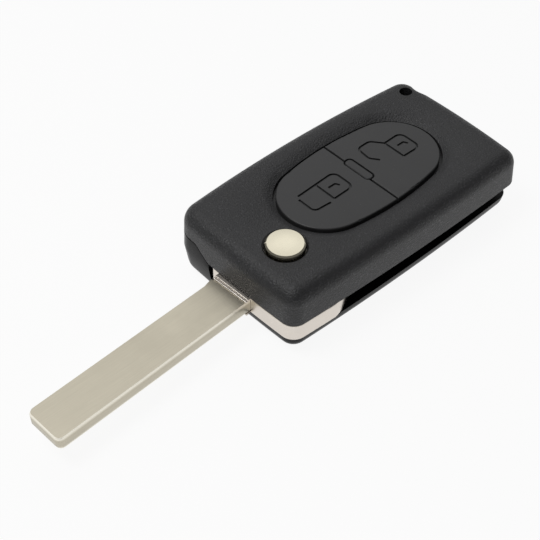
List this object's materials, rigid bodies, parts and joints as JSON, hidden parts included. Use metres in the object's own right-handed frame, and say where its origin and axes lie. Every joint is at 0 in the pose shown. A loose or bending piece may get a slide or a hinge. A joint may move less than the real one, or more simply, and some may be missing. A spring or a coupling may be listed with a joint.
{
  "type": "flip key remote shell",
  "caption": "Empty flip key remote shell: black case with lock and unlock buttons, round release button and a plain blade that folds into a side slot.",
  "frame": {"origin": "middle of the case's flat back, which is the face that rests on a table", "axes": "+Z out of the back towards the buttons, the shortest extent; +X along the case away from the open blade, the longest extent; +Y to the long side with the key ring hole, away from the blade slot"},
  "size_m": [0.1103, 0.0364, 0.0167],
  "materials": {
    "case_top": "fine spark texture, black",
    "case_back": "smooth moulded black",
    "button_rubber": "smooth satin black",
    "divider_plastic": "satin black",
    "dome_silicone": "translucent white silicone",
    "tray_plastic": "moulded dark grey",
    "contact_metal": "nickel-plated spring strip",
    "washer_plastic": "natural acetal",
    "screw_steel": "dark zinc",
    "insert_brass": "turned brass",
    "head_nickel": "satin nickel on a zinc casting",
    "blade_nickel": "nickel-plated, uncut",
    "pin_steel": "plain spring steel",
    "spring_steel": "drawn wire",
    "cap_chrome": "polished",
    "plunger_plastic": "natural acetal"
  },
  "bodies": {
    "case": {"upper_case": "case_top", "lower_case": "case_back", "button_divider": "divider_plastic", "lock_dome": "dome_silicone", "unlock_dome": "dome_silicone", "board_tray": "tray_plastic", "battery_contact_base": "contact_metal", "battery_contact_side": "contact_metal", "thrust_washer": "washer_plastic", "case_screws": "screw_steel", "screw_inserts": "insert_brass"},
    "key": {"key_head": "head_nickel", "blade": "blade_nickel", "blade_pin": "pin_steel", "return_spring": "spring_steel", "spring_seat": "spring_steel"},
    "release": {"release_cap": "cap_chrome", "release_plunger": "plunger_plastic"},
    "lock": {"lock_button": "button_rubber"},
    "unlock": {"unlock_button": "button_rubber"}
  },
  "joints": [
    {"name": "blade_swing", "type": "hinge", "parent": "case", "child": "key", "pos_m": [-0.0229, -0.0052, 0.00585], "axis": [0, 0, 1], "range_deg": [0, 177.2], "stiffness_Nm_per_rad": 0.008, "springref_deg": -57.3},
    {"name": "release_press", "type": "slide", "parent": "key", "child": "release", "axis": [0, 0, -1], "range_m": [0, 0.0022], "stiffness_N_per_m": 900, "springref_m": -0.001, "deforming": ["return_spring"]},
    {"name": "lock_press", "type": "slide", "parent": "case", "child": "lock", "axis": [0, 0, -1], "range_m": [0, 0.0008], "stiffness_N_per_m": 1500, "springref_m": -0.0003, "deforming": ["lock_dome"]},
    {"name": "unlock_press", "type": "slide", "parent": "case", "child": "unlock", "axis": [0, 0, -1], "range_m": [0, 0.0008], "stiffness_N_per_m": 1500, "springref_m": -0.0003, "deforming": ["unlock_dome"]}
  ]
}
